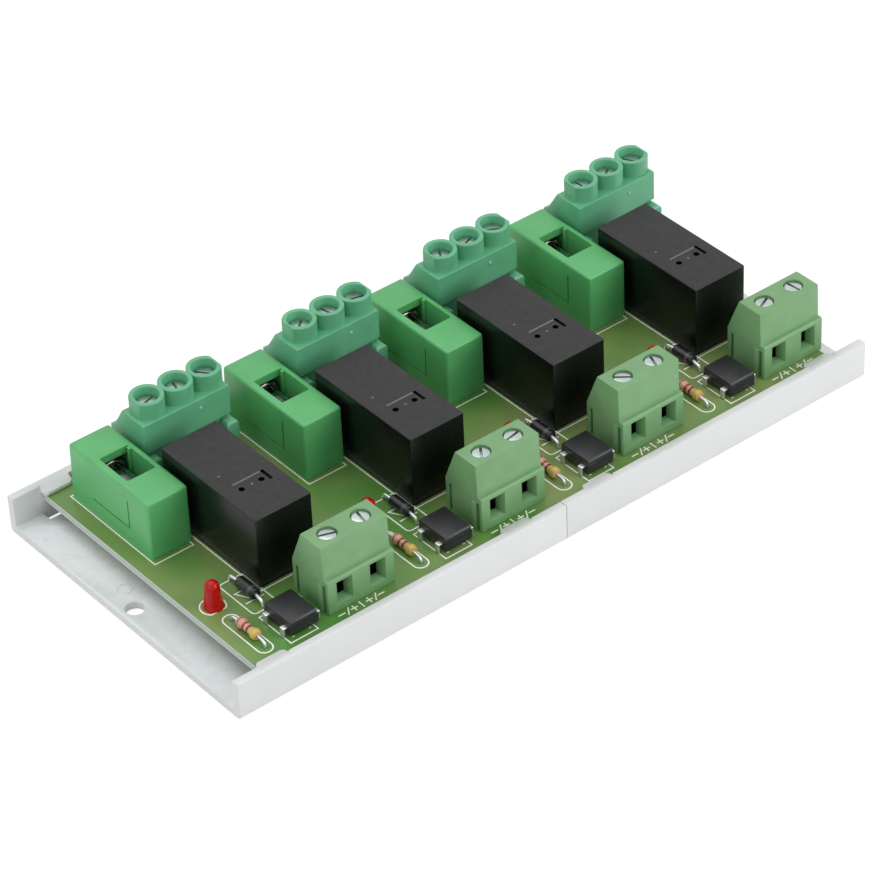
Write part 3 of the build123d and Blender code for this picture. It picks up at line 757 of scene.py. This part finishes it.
class OBJECT_OT_relay_module_relays(PieceOperator, bpy.types.Operator):
    """Makes the sealed relays with the marks on their tops"""

    bl_idname = "object.relay_module_relays"
    bl_label = "Relays"

    # Marks on the top, in millimetres from its middle line and from its front: two round pits, a
    # slot, a ridge and two spots of the mould.
    PITS, PIT_RADIUS, PIT_DEPTH = ((-2.55, 9.1), (1.95, 9.1)), 0.62 * MM, 0.8 * MM
    SLOT, SLOT_DEPTH = ((3.15, 8.0), (3.85, 11.3)), 0.5 * MM
    RIDGE, RIDGE_HEIGHT = ((-3.2, 10.85), (3.1, 11.3)), 0.14 * MM
    SPOTS = ((-0.2, 9.1), (-3.5, 14.85))

    def case(self, low, high):
        middle_x = (low.x + high.x) / 2

        def at(point, level):
            return middle_x + point[0] * MM, low.y + point[1] * MM, high.z + level

        box, holes = bmesh.new(), bmesh.new()
        bevel(box, edges_of(block(box, low, high)), self.sizes.relay_edge, 3)
        for pit in self.PITS:
            x, y, bottom = at(pit, -self.PIT_DEPTH)
            column(holes, x, y, bottom, high.z + MM, self.PIT_RADIUS, 24)
        block(holes, at(self.SLOT[0], -self.SLOT_DEPTH), at(self.SLOT[1], MM))
        case = combined(box, "DIFFERENCE", holes)
        case.normal_update()
        # the top's faces get the painted light and all other faces the painted shade
        for face in case.faces:
            level = face.calc_center_median().z
            face.material_index = 0 if level > high.z - self.sizes.relay_edge / 2 else 1
        plain = set(case.faces)
        ridge = block(case, at(self.RIDGE[0], -0.2 * MM), at(self.RIDGE[1], self.RIDGE_HEIGHT))
        bevel(case, edges_of(ridge), 0.12 * MM, 3)
        for spot in self.SPOTS:
            lathe(case, mm([(0.3, -0.1), (0.28, 0.06), (0.16, 0.14), (0, 0.16)]),
                  Matrix.Translation(at(spot, 0)), 20)
        # the ridge and the spots get the painted highlight
        paint_new(case, plain, 2)
        return case

    def execute(self, context):
        finishes = [plastic(name) for name in ("eroded_polyester", "polished_polyester",
                                               "rubbed_polyester")]
        self.in_each_channel("relay", self.case, "relay_case_{}", finishes, "module",
                             "relay_black")
        return {"FINISHED"}


class OBJECT_OT_relay_module_output_terminals(PieceOperator, bpy.types.Operator):
    """Makes the contact terminals: stepped body, merged screw towers, bores and wire entries"""

    bl_idname = "object.relay_module_output_terminals"
    bl_label = "Contact terminals"

    def tower_outline(self, step, top):
        """Half section of a screw tower and of its bore, and the radius and floor of the bore."""
        tower, bore, edge = 3.38 * MM, 2.45 * MM, self.sizes.rim_round
        neck, floor = bore - 0.3 * MM, top - 3.4 * MM
        root = step + 2 * MM
        outline = [(0, floor), (neck, floor), *rim(bore, top, edge, -1),
                   *reversed(rim(tower, top, edge)), (tower, root), (0, root)]
        return outline, neck, bore, floor

    def terminal(self, low, high):
        lug_side, lug_reach, lug_width = 0.45 * MM, 1.6 * MM, 2.2 * MM
        middle = (low.x + high.x) / 2
        left, right = low.x + 0.12 * MM, high.x - lug_side
        front, rear, foot = low.y + lug_reach, high.y, low.y + lug_reach + 1.0 * MM
        base, step, top = low.z, low.z + 10.3 * MM, low.z + 16.9 * MM
        # the back slopes down steeply behind the towers, then gently over the wire entries
        brow_y, fold_y = front + 7.0 * MM, front + 9.7 * MM
        fold, back_top = base + 12.7 * MM, base + 11.5 * MM
        body = bmesh.new()
        extruded(body, [(foot, base), (foot, step), (front, step), (front, top), (brow_y, top),
                        (fold_y, fold), (rear, back_top), (rear, base)], left, right)
        bevel(body, sharp_edges(body, 20), self.sizes.terminal_edge, 2)
        outline, neck, bore, floor = self.tower_outline(step, high.z)
        row, tower_y = middle + TOWER_SHIFT, low.y + TOWER_Y
        towers, bores, entries = [], bmesh.new(), bmesh.new()
        for pole in (-1, 0, 1):
            x = row + pole * TOWER_PITCH
            tower = bmesh.new()
            lathe(tower, outline, Matrix.Translation((x, tower_y, 0)), 64)
            # the ends of the row are cut flat
            limits = bmesh.new()
            block(limits, (row - TOWER_PITCH - 2.92 * MM, front, step),
                  (right - 0.01 * MM, rear, high.z + MM))
            towers.append(combined(tower, "INTERSECT", limits))
            column(bores, x, tower_y, floor, high.z - self.sizes.rim_round, neck, 64, bore)
            entry, half = middle + pole * 6.5 * MM, 1.9 * MM
            block(entries, (entry - half, rear - 10.1 * MM, base + 2.2 * MM),
                  (entry + half, rear + MM, base + 7.4 * MM))
        lugs = bmesh.new()
        for lug_left, lug_right in ((low.x, low.x + lug_side + lug_width),
                                    (right - lug_width, high.x)):
            verts = block(lugs, (lug_left, low.y, base),
                          (lug_right, front + 2 * MM, base + 9.5 * MM))
            bevel(lugs, [edge for edge in edges_of(verts)
                         if min(vert.co.z for vert in edge.verts) > (base + step) / 2],
                  0.9 * MM, 5)
        solid = combined(combined(body, "UNION", *towers, lugs), "DIFFERENCE", bores, entries)
        # gate mark of the moulding
        plain = set(solid.faces)
        dot = (Matrix.Translation((right - 6.8 * MM, front, top - 2.1 * MM))
               @ Matrix.Rotation(math.pi / 2, 4, "X"))
        lathe(solid, mm([(0.42, -0.1), (0.4, 0.1), (0.24, 0.2), (0, 0.24)]), dot, 20)
        paint_new(solid, plain, 1)
        return solid

    def execute(self, context):
        finishes = [plastic("bluish_green_polyamide"), plastic("stressed_polyamide", lift=1.35)]
        self.in_each_channel("output_terminal", self.terminal, "contact_terminal_{}", finishes,
                             "module", "terminal_green", 20)
        return {"FINISHED"}


class OBJECT_OT_relay_module_input_terminals(PieceOperator, bpy.types.Operator):
    """Makes the control terminals: sloping body, screw bores, funnel entries and end grooves"""

    bl_idname = "object.relay_module_input_terminals"
    bl_label = "Control terminals"

    def terminal(self, low, high):
        base, top, front, rear = low.z, high.z, low.y, high.y
        lip, groove_top = base + 7.7 * MM, base + 6.4 * MM
        body = bmesh.new()
        extruded(body, [(front, base), (front, lip - 0.3 * MM), (front + 0.3 * MM, lip),
                        (front + 1.1 * MM, lip), (front + 1.36 * MM, top),
                        (front + 7.4 * MM, top), (rear, base + 7.2 * MM), (rear, base)],
                 low.x, high.x)
        bevel(body, sharp_edges(body), self.sizes.terminal_edge, 2)
        bores, entries, cavities, grooves = (bmesh.new() for _ in range(4))
        entry_half, entry_rise, mouth = 1.3 * MM, 2.05 * MM, base + 4.25 * MM
        for pole in (-0.5, 0.5):
            x = (low.x + high.x) / 2 + pole * CONTROL_PITCH
            column(bores, x, front + CONTROL_SCREW_Y, top - 1.8 * MM, top + MM, 1.95 * MM, 64)
            funnel = block(entries, (x - entry_half, front - MM, mouth - entry_rise),
                           (x + entry_half, front + MM, mouth + entry_rise))
            for vert in funnel:
                if vert.co.y < front:
                    vert.co.x += math.copysign(MM, vert.co.x - x)
                    vert.co.z += math.copysign(MM, vert.co.z - mouth)
            block(cavities, (x - entry_half, front + 0.9 * MM, mouth - entry_rise),
                  (x + entry_half, front + 7.2 * MM, mouth + entry_rise))
        half = 0.35 * MM
        for x in (low.x, high.x):
            for y in (front + 1.1 * MM, rear - 1.5 * MM):
                block(grooves, (x - MM, y - half, base - MM), (x + MM, y + half, groove_top))
        solid = combined(body, "DIFFERENCE", bores, entries, cavities, grooves)
        # rail that a neighbouring terminal's groove slides on
        rail = block(solid, (low.x - 0.3 * MM, front + 1.45 * MM, base),
                     (low.x + 0.1 * MM, front + 2.7 * MM, groove_top))
        bevel(solid, edges_of(rail), 0.1 * MM, 2)
        return solid

    def execute(self, context):
        self.in_each_channel("input_terminal", self.terminal, "control_terminal_{}",
                             [plastic("yellowish_green_polyamide")], "module", "terminal_green")
        return {"FINISHED"}


class OBJECT_OT_relay_module_screws(PieceOperator, bpy.types.Operator):
    """Makes the slotted terminal screws, each turned as it was left, and their clamps"""

    bl_idname = "object.relay_module_screws"
    bl_label = "Terminal screws"

    # How far each screw is turned, in degrees, from left to right.
    CONTACT_TURNS = (15, 75, 130, 40, 100, 165, 60, 20, 145, 95, 35, 120)
    CONTROL_TURNS = (159, 79, 55, 10, 140, 70, 25, 95)

    def screw(self, mesh, x, y, shoulder, top, radius, tip, turn):
        """One cheese-head screw with a rounded edge and a slot across it."""
        head, slot = bmesh.new(), bmesh.new()
        lathe(head, [(0, shoulder), (radius, shoulder), *rim(radius, top, 0.25 * MM), (0, top)])
        half = self.sizes.screw_slot / 2
        block(slot, (-2 * radius, -half, top - 0.8 * MM), (2 * radius, half, top + MM))
        made = combined(head, "DIFFERENCE", slot)
        column(made, 0, 0, tip, shoulder - WELD, 1.2 * MM, 24)
        place = Matrix.Translation((x, y, 0)) @ Matrix.Rotation(math.radians(turn), 4, "Z")
        bmesh.ops.transform(made, verts=made.verts, matrix=place)
        part = bpy.data.meshes.new("work_screw")
        made.to_mesh(part)
        made.free()
        mesh.from_mesh(part)
        bpy.data.meshes.remove(part)

    def screws(self, kind, piece, offsets, y, height, radius, turns, zinc):
        """The screws of one kind of terminal, each at an offset from its terminal's middle."""
        screw_low, screw_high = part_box(f"{kind}_screws")
        turns = iter(turns)
        mesh = bmesh.new()
        for _, low, high in self.each_channel(f"{kind}_terminal"):
            for offset in offsets:
                self.screw(mesh, (low.x + high.x) / 2 + offset, low.y + y, screw_high.z - height,
                           screw_high.z, radius, screw_low.z, next(turns))
        place_piece(piece, mesh, [zinc], "module", [f"{kind}_screws"])

    def execute(self, context):
        zinc = metal("zinc_plated_steel")
        self.screws("output", "contact_screws",
                    [TOWER_SHIFT + pole * TOWER_PITCH for pole in (-1, 0, 1)], TOWER_Y,
                    1.8 * MM, 1.9 * MM, self.CONTACT_TURNS, zinc)
        self.screws("input", "control_screws",
                    [pole * CONTROL_PITCH for pole in (-0.5, 0.5)], CONTROL_SCREW_Y,
                    1.5 * MM, 1.8 * MM, self.CONTROL_TURNS, zinc)
        finish_nodes(metal("nickel_plated_brass"), "output_cages", "input_cages")
        return {"FINISHED"}


class OBJECT_OT_relay_module_lights(PieceOperator, bpy.types.Operator):
    """Makes the red lights with round domes on widening skirts"""

    bl_idname = "object.relay_module_lights"
    bl_label = "Lights"

    # How far the skirt stands out beyond the dome, and at which height, in millimetres.
    SKIRT = ((0.34, 1.2), (0.12, 2.4), (0.03, 3.6))

    def execute(self, context):
        red = red_lens()
        for number, low, high in self.each_channel("led"):
            centre = Vector(((low.x + high.x) / 2 + 0.15 * MM, (low.y + high.y) / 2 + 0.2 * MM,
                             low.z))
            foot, radius = (high.x - low.x) / 2 + 0.06 * MM, 1.48 * MM
            dome = high.z - low.z - radius
            outline = [(0, 0), (foot, 0), (foot, 0.4 * MM), (foot - 0.1 * MM, 0.55 * MM)]
            outline += [(radius + out * MM, height * MM) for out, height in self.SKIRT]
            turns = [math.radians(turn) for turn in range(0, 91, 10)]
            outline += [(radius * math.cos(turn), dome + radius * math.sin(turn))
                        for turn in turns]
            lens = bmesh.new()
            lathe(lens, outline, Matrix.Translation(centre))
            place_piece(f"light_{number}", lens, [red], "module", [f"led_{number}"])
        return {"FINISHED"}


class OBJECT_OT_relay_module_small_parts(PieceOperator, bpy.types.Operator):
    """Makes the resistors, diodes and rectifiers"""

    bl_idname = "object.relay_module_small_parts"
    bl_label = "Small parts"

    # Painted rings as parts of the barrel's length.
    RESISTOR_BANDS = ((0.0, 0.32, "#CDAE5C"), (0.38, 0.46, "#4E1426"), (0.58, 0.68, "#93241F"),
                      (0.84, 0.89, "#7A4A3C"), (0.93, 0.99, "#B9A184"))
    DIODE_BANDS = ((0.11, 0.24, "#46474B"),)

    def barrels(self, node, profile, finish, slot):
        """Turned bodies along Y, both ends with the profile that starts at the end's middle."""
        outline = profile + [(radius, -height) for radius, height in reversed(profile)]
        for number, low, high in self.each_channel(node):
            barrel = bmesh.new()
            lathe(barrel, outline, along_y((low + high) / 2 + BARREL_SHIFT[node]))
            place_piece(f"{node}_body_{number}", barrel, [finish], "module",
                        [f"{node}_{number}"])

    def execute(self, context):
        # lacquered carbon film resistor: glossy tan with painted rings
        painted = banded("lacquered_resistor", "resistor_1", self.RESISTOR_BANDS, "#CC9882", 0.3)
        low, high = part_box("resistor_1")
        radius, half = (high.x - low.x) / 2 + 0.07 * MM, (high.y - low.y) / 2
        waist = radius - 0.28 * MM
        profile = [(0, half), (0.5 * radius, half), (0.85 * radius, half - 0.15 * MM),
                   (radius, half - 0.5 * MM), (radius, half - 1.1 * MM), (waist, half - 1.6 * MM)]
        self.barrels("resistor", profile, painted, "resistor_tan")
        # moulded epoxy diode: black, satin, with a grey ring
        striped = banded("moulded_diode", "diode_1", self.DIODE_BANDS, "#17171A", 0.35)
        low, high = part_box("diode_1")
        radius, half, edge = 1.18 * MM, (high.y - low.y) / 2, 0.2 * MM
        profile = [(0, half), (radius - edge, half), (radius, half - edge)]
        self.barrels("diode", profile, striped, "black_plastic")
        black = plastic("black_epoxy_moulding")
        for number, low, high in self.each_channel("bridge_rectifier"):
            body = cad_copy(f"bridge_rectifier_{number}")
            bevel(body, sharp_edges(body, 15), 0.1 * MM, 2)
            # flash of the mould's two halves
            flash = 0.04 * MM
            proud = Vector((1, 1, 0)) * flash
            middle = Vector((0, 0, (high.z - low.z) / 2 - flash))
            block(body, low - proud + middle, high + proud - middle)
            place_piece(f"rectifier_{number}", body, [black], "module",
                        [f"bridge_rectifier_{number}"])
        return {"FINISHED"}


class OBJECT_OT_relay_module_leads(PieceOperator, bpy.types.Operator):
    """Bends the axial leads, dresses the pins and legs, and adds the solder below the board"""

    bl_idname = "object.relay_module_leads"
    bl_label = "Leads and solder"

    HOLE_OFFSET = 5.08 * MM  # from the middle of a barrel to the holes of its leads
    LEAD_RADIUS = {"resistor": 0.28, "diode": 0.35}  # in millimetres
    SOLDERED = ("relay_pins", "led_leads", "bridge_legs", "axial_leads", "output_cages",
                "input_cages", "fuse_clips")
    SOLDER_CONE = ((0, 0.02), (0.95, 0.02), (0.9, -0.05), (0.55, -0.4), (0.38, -0.85),
                   (0.2, -0.95), (0, -0.97))

    def bent_lead(self, curve, start, end_x, end_y, thickness):
        """A wire that runs along Y, turns down with a round bend and ends below the board."""
        radius = self.sizes.lead_bend
        side = 1 if end_y > start.y else -1
        points = [start]
        for turn in range(0, 91, 15):
            angle = math.radians(turn)
            points.append(Vector((end_x, end_y - side * radius * (1 - math.sin(angle)),
                                  start.z - radius * (1 - math.cos(angle)))))
        points.append(Vector((end_x, end_y, BOARD_LOW.z)))
        spline = curve.splines.new("POLY")
        spline.points.add(len(points) - 1)
        for place, point in zip(spline.points, points):
            place.co = (*point, 1)
            place.radius = thickness

    def pin_ends(self, node):
        """Middles of the pins that a CAD node sends through the board."""
        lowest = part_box(node)[0].z
        ends = []
        for vert in bpy.data.objects[node].data.vertices:
            if vert.co.z < lowest + 0.1 * MM:
                near = [end for end in ends if (end[0] - vert.co).xy.length < 1.2 * MM]
                if near:
                    near[0].append(vert.co.copy())
                else:
                    ends.append([vert.co.copy()])
        return [((min(v.x for v in end) + max(v.x for v in end)) / 2,
                 (min(v.y for v in end) + max(v.y for v in end)) / 2) for end in ends]

    def execute(self, context):
        tin = metal("tinned_copper")
        curve = bpy.data.curves.new("work_leads", "CURVE")
        curve.dimensions = "3D"
        curve.bevel_depth = MM  # times the radius of each point, which is in millimetres
        curve.bevel_resolution = 4
        curve.use_fill_caps = True
        for node, thickness in self.LEAD_RADIUS.items():
            for _, low, high in self.each_channel(node):
                middle = (low + high) / 2
                for side, face in ((-1, low.y), (1, high.y)):
                    inside = Vector((middle.x, face - side * 0.3 * MM, middle.z))
                    self.bent_lead(curve, inside + BARREL_SHIFT[node], middle.x,
                                   middle.y + side * self.HOLE_OFFSET, thickness)
        wires = bpy.data.objects.new("work_leads", curve)
        mesh = bmesh.new()
        mesh.from_mesh(bpy.data.meshes.new_from_object(wires))
        place_piece("bent_leads", mesh, [tin], "module", ["axial_leads"])
        legs = cad_copy("bridge_legs")
        bevel(legs, sharp_edges(legs), 0.12 * MM, 3)
        place_piece("rectifier_legs", legs, [tin], "module", ["bridge_legs"])
        finish_nodes(tin, "relay_pins", "led_leads")
        joints = bmesh.new()
        for node in self.SOLDERED:
            for x, y in self.pin_ends(node):
                lathe(joints, mm(self.SOLDER_CONE), Matrix.Translation((x, y, BOARD_LOW.z)), 16)
        place_piece("solder_joints", joints, [metal("tin_solder")], "module")
        return {"FINISHED"}


class OBJECT_OT_relay_module_stage(PieceOperator, bpy.types.Operator):
    """Sets the pale floor, the soft studio light and the camera"""

    bl_idname = "object.relay_module_stage"
    bl_label = "Stage"

    WHITE = (1, 1, 1, 1)
    # name, place, side and power of each lamp
    LAMPS = (("top_softbox", (-0.15, 0.25, 0.9), 0.9, 3.3),
             ("left_softbox", (-0.9, -0.1, 0.5), 0.7, 1.7),
             ("front_softbox", (0.55, -0.8, 0.5), 0.7, 5.5))
    # the photograph's standpoint, solved from the board's own sizes
    EYE, AZIMUTH, ELEVATION, ROLL = Vector((-370.26, -484.23, 471.75)) * MM, 37.23, 37.49, -2.86

    def background_rays(self, tree):
        """One for the rays that show the background: seen straight, in metal or through glass."""
        rays = add_node(tree, "ShaderNodeLightPath")
        seen = rays.outputs["Is Camera Ray"]
        for kind in ("Is Glossy Ray", "Is Transmission Ray"):
            seen = add_node(tree, "ShaderNodeMath", {0: seen, 1: rays.outputs[kind]},
                            operation="MAXIMUM").outputs["Value"]
        return seen

    def floor(self):
        mesh = bmesh.new()
        bmesh.ops.create_grid(mesh, x_segments=1, y_segments=1, size=6,
                              matrix=Matrix.Translation((0, 0, -0.05 * MM)))
        plane = object_of("studio_floor", mesh)
        if plane.data.polygons[0].normal.z < 0:
            plane.data.flip_normals()
        material, tree, shader = empty_material("pale_studio_paper")
        shader.inputs["Base Color"].default_value = (0.8, 0.8, 0.8, 1)
        shader.inputs["Roughness"].default_value = 0.9
        # the camera sees the paper as white, with the object's shadow still on it
        soft = add_node(tree, "ShaderNodeBsdfDiffuse", {"Color": (0.3, 0.3, 0.3, 1)})
        glow = add_node(tree, "ShaderNodeEmission", {"Color": self.WHITE, "Strength": 0.78})
        seen = add_node(tree, "ShaderNodeAddShader", {0: soft.outputs[0], 1: glow.outputs[0]})
        choose = add_node(tree, "ShaderNodeMixShader", {"Fac": self.background_rays(tree),
                                                        1: shader.outputs[0], 2: seen.outputs[0]})
        # from below, the paper lets the carrier's underside be seen
        side = add_node(tree, "ShaderNodeNewGeometry")
        clear = add_node(tree, "ShaderNodeBsdfTransparent")
        paper = add_node(tree, "ShaderNodeMixShader", {"Fac": side.outputs["Backfacing"],
                                                       1: choose.outputs[0], 2: clear.outputs[0]})
        output = next(node for node in tree.nodes if node.bl_idname == "ShaderNodeOutputMaterial")
        tree.links.new(paper.outputs[0], output.inputs["Surface"])
        plane.data.materials.append(material)

    def world(self, scene):
        world = bpy.data.worlds.new("studio_world")
        world.use_nodes = True
        tree = world.node_tree
        tree.nodes.clear()
        light = add_node(tree, "ShaderNodeBackground", {"Color": self.WHITE, "Strength": 0.52})
        white = add_node(tree, "ShaderNodeBackground", {"Color": self.WHITE, "Strength": 1.0})
        choose = add_node(tree, "ShaderNodeMixShader", {"Fac": self.background_rays(tree),
                                                        1: light.outputs[0], 2: white.outputs[0]})
        add_node(tree, "ShaderNodeOutputWorld", {"Surface": choose.outputs[0]})
        scene.world = world

    def lamp(self, name, place, span, power):
        """A soft square lamp that faces the object."""
        data = bpy.data.lights.new(name, "AREA")
        data.shape = "SQUARE"
        data.size = span
        data.energy = power
        lamp = bpy.data.objects.new(name, data)
        lamp.location = place
        lamp.rotation_euler = (-Vector(place)).to_track_quat("-Z", "Y").to_euler()
        bpy.context.scene.collection.objects.link(lamp)

    def camera(self, scene):
        """A long lens at the photograph's standpoint."""
        azimuth, elevation = math.radians(self.AZIMUTH), math.radians(self.ELEVATION)
        data = bpy.data.cameras.new("camera")
        data.sensor_width = 36
        data.lens = 165.81
        data.clip_start = 0.05
        data.clip_end = 20
        camera = bpy.data.objects.new("camera", data)
        back = Vector((-math.sin(azimuth) * math.cos(elevation),
                       -math.cos(azimuth) * math.cos(elevation), math.sin(elevation)))
        right = Vector((math.cos(azimuth), -math.sin(azimuth), 0))
        turn = Matrix((right, back.cross(right), back)).transposed().to_4x4()
        camera.matrix_world = (Matrix.Translation(self.EYE) @ turn
                               @ Matrix.Rotation(math.radians(self.ROLL), 4, "Z"))
        scene.collection.objects.link(camera)
        scene.camera = camera

    def execute(self, context):
        scene = context.scene
        scene.view_settings.view_transform = "Standard"
        self.floor()
        self.world(scene)
        for lamp in self.LAMPS:
            self.lamp(*lamp)
        self.camera(scene)
        return {"FINISHED"}


PIECES = (
    OBJECT_OT_relay_module_carrier,
    OBJECT_OT_relay_module_board,
    OBJECT_OT_relay_module_print,
    OBJECT_OT_relay_module_fuse_covers,
    OBJECT_OT_relay_module_fuses,
    OBJECT_OT_relay_module_relays,
    OBJECT_OT_relay_module_output_terminals,
    OBJECT_OT_relay_module_input_terminals,
    OBJECT_OT_relay_module_screws,
    OBJECT_OT_relay_module_lights,
    OBJECT_OT_relay_module_small_parts,
    OBJECT_OT_relay_module_leads,
    OBJECT_OT_relay_module_stage,
)


class VIEW3D_PT_relay_module(bpy.types.Panel):
    """Sidebar panel with the module's sizes, colours and pieces"""

    bl_label = "Relay module"
    bl_idname = "VIEW3D_PT_relay_module"
    bl_space_type = "VIEW_3D"
    bl_region_type = "UI"
    bl_category = "Relay module"

    def draw(self, context):
        for group in (context.scene.relay_module_sizes, context.scene.relay_module_colours):
            for name in group.bl_rna.properties.keys():
                if name not in ("rna_type", "name"):
                    self.layout.prop(group, name)
        for piece in PIECES:
            self.layout.operator(piece.bl_idname)


CLASSES = (RelayModuleSizes, RelayModuleColours, *PIECES, VIEW3D_PT_relay_module)


def register():
    for each in CLASSES:
        bpy.utils.register_class(each)
    bpy.types.Scene.relay_module_sizes = bpy.props.PointerProperty(type=RelayModuleSizes)
    bpy.types.Scene.relay_module_colours = bpy.props.PointerProperty(type=RelayModuleColours)


def unregister():
    del bpy.types.Scene.relay_module_colours
    del bpy.types.Scene.relay_module_sizes
    for each in reversed(CLASSES):
        bpy.utils.unregister_class(each)


def main():
    register()
    for piece in PIECES:
        group, name = piece.bl_idname.split(".")
        getattr(getattr(bpy.ops, group), name)()


if __name__ == "__main__":
    main()
